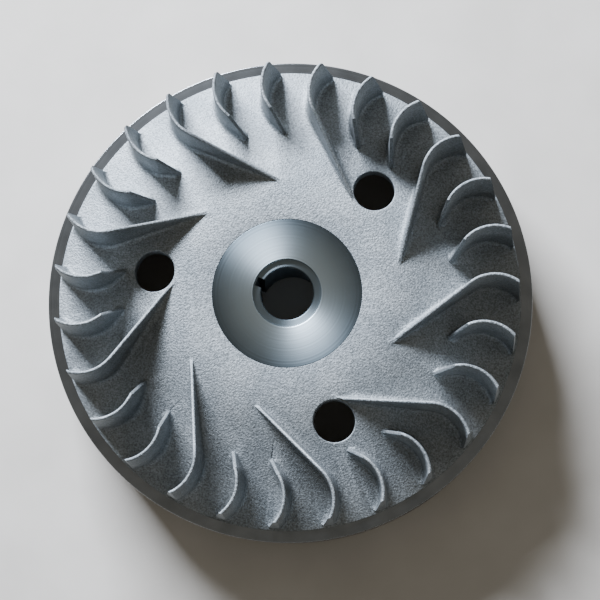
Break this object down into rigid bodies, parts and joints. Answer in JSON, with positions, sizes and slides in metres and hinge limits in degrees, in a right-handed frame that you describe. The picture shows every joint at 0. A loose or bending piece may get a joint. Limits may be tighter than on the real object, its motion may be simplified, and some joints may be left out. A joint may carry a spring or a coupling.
{
  "type": "flywheel",
  "caption": "Die-cast aluminium fan flywheel with curved cooling fins, three web holes, a turned steel hub with a keyed taper bore, and a rim magnet group.",
  "frame": {"origin": "on the shaft axis, in the plane of the skirt's lower face", "axes": "+Z along the shaft axis towards the finned face; the keyway points 157.5 degrees anticlockwise from +X, seen from +Z"},
  "size_m": [0.165, 0.165, 0.05],
  "materials": {
    "cast_aluminium": "shot-blasted die casting, with turned rim and ledge",
    "turned_steel": "fine lathe-turned face",
    "ferrite": "ground dark grey",
    "cast_iron": "turned flush with the rim",
    "sheet_steel": "punched sheet edges, turned flush with the rim",
    "rivet_steel": "plain bright wire"
  },
  "bodies": {
    "root": {"fan_disc": "cast_aluminium", "long_fin_1": "cast_aluminium", "long_fin_2": "cast_aluminium", "long_fin_3": "cast_aluminium", "long_fin_4": "cast_aluminium", "long_fin_5": "cast_aluminium", "long_fin_6": "cast_aluminium", "long_fin_7": "cast_aluminium", "long_fin_8": "cast_aluminium", "long_fin_9": "cast_aluminium", "short_fin_1": "cast_aluminium", "short_fin_2": "cast_aluminium", "short_fin_3": "cast_aluminium", "short_fin_4": "cast_aluminium", "short_fin_5": "cast_aluminium", "short_fin_6": "cast_aluminium", "short_fin_7": "cast_aluminium", "short_fin_8": "cast_aluminium", "short_fin_9": "cast_aluminium", "short_fin_10": "cast_aluminium", "short_fin_11": "cast_aluminium", "short_fin_12": "cast_aluminium", "short_fin_13": "cast_aluminium", "short_fin_14": "cast_aluminium", "short_fin_15": "cast_aluminium", "short_fin_16": "cast_aluminium", "short_fin_17": "cast_aluminium", "short_fin_18": "cast_aluminium", "hub_insert": "turned_steel", "magnet": "ferrite", "balance_weight": "cast_iron", "leading_lamination_1": "sheet_steel", "leading_lamination_2": "sheet_steel", "leading_lamination_3": "sheet_steel", "leading_lamination_4": "sheet_steel", "leading_lamination_5": "sheet_steel", "leading_lamination_6": "sheet_steel", "leading_lamination_7": "sheet_steel", "leading_lamination_8": "sheet_steel", "leading_rivet_1": "rivet_steel", "leading_rivet_2": "rivet_steel", "trailing_lamination_1": "sheet_steel", "trailing_lamination_2": "sheet_steel", "trailing_lamination_3": "sheet_steel", "trailing_lamination_4": "sheet_steel", "trailing_lamination_5": "sheet_steel", "trailing_lamination_6": "sheet_steel", "trailing_lamination_7": "sheet_steel", "trailing_lamination_8": "sheet_steel", "trailing_rivet_1": "rivet_steel", "trailing_rivet_2": "rivet_steel"}
  },
  "joints": []
}
